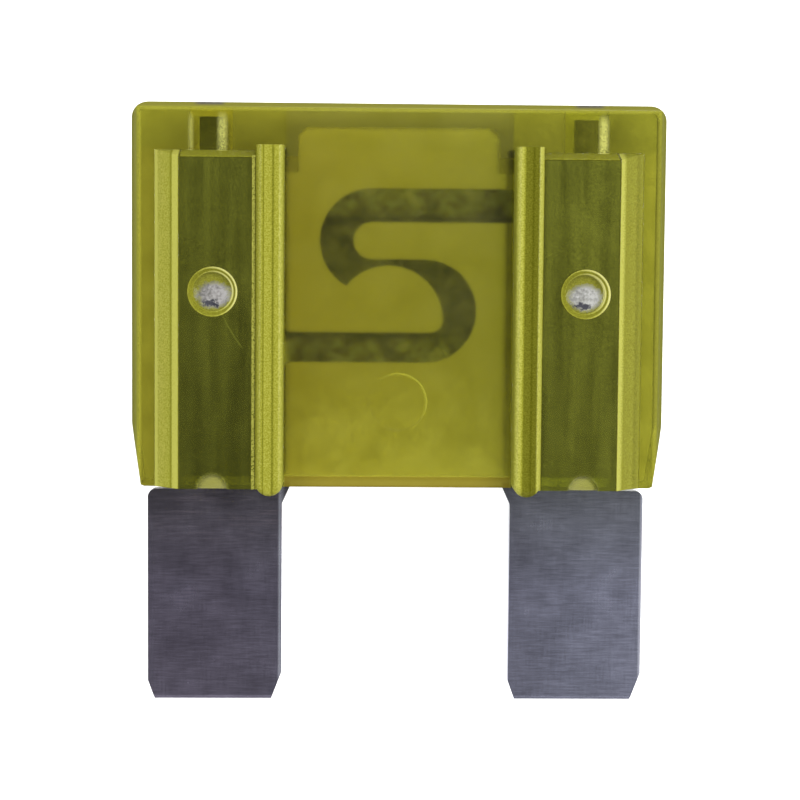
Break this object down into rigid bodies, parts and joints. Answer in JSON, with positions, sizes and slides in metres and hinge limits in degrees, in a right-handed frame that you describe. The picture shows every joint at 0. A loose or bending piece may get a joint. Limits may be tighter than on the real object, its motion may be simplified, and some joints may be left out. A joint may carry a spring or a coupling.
{
  "type": "automotive blade fuse",
  "caption": "Large automotive blade fuse: translucent yellow moulded housing with a stamped zinc strip, flat blades and an S-shaped fuse link seen through the window.",
  "frame": {"origin": "middle of the outline seen from the front, on the surface that the rear ribs lie on", "axes": "+X across the blades to the right in the front view, +Y from the blade tips to the top of the housing, +Z out of the front face, up as the fuse lies"},
  "size_m": [0.0292, 0.0334, 0.0086],
  "materials": {
    "housing_plastic": "glossy translucent amber-yellow moulding",
    "zinc_strip": "dull stamped zinc alloy with fine scratches"
  },
  "bodies": {
    "root": {"housing": "housing_plastic", "fuse_element": "zinc_strip"}
  },
  "joints": []
}
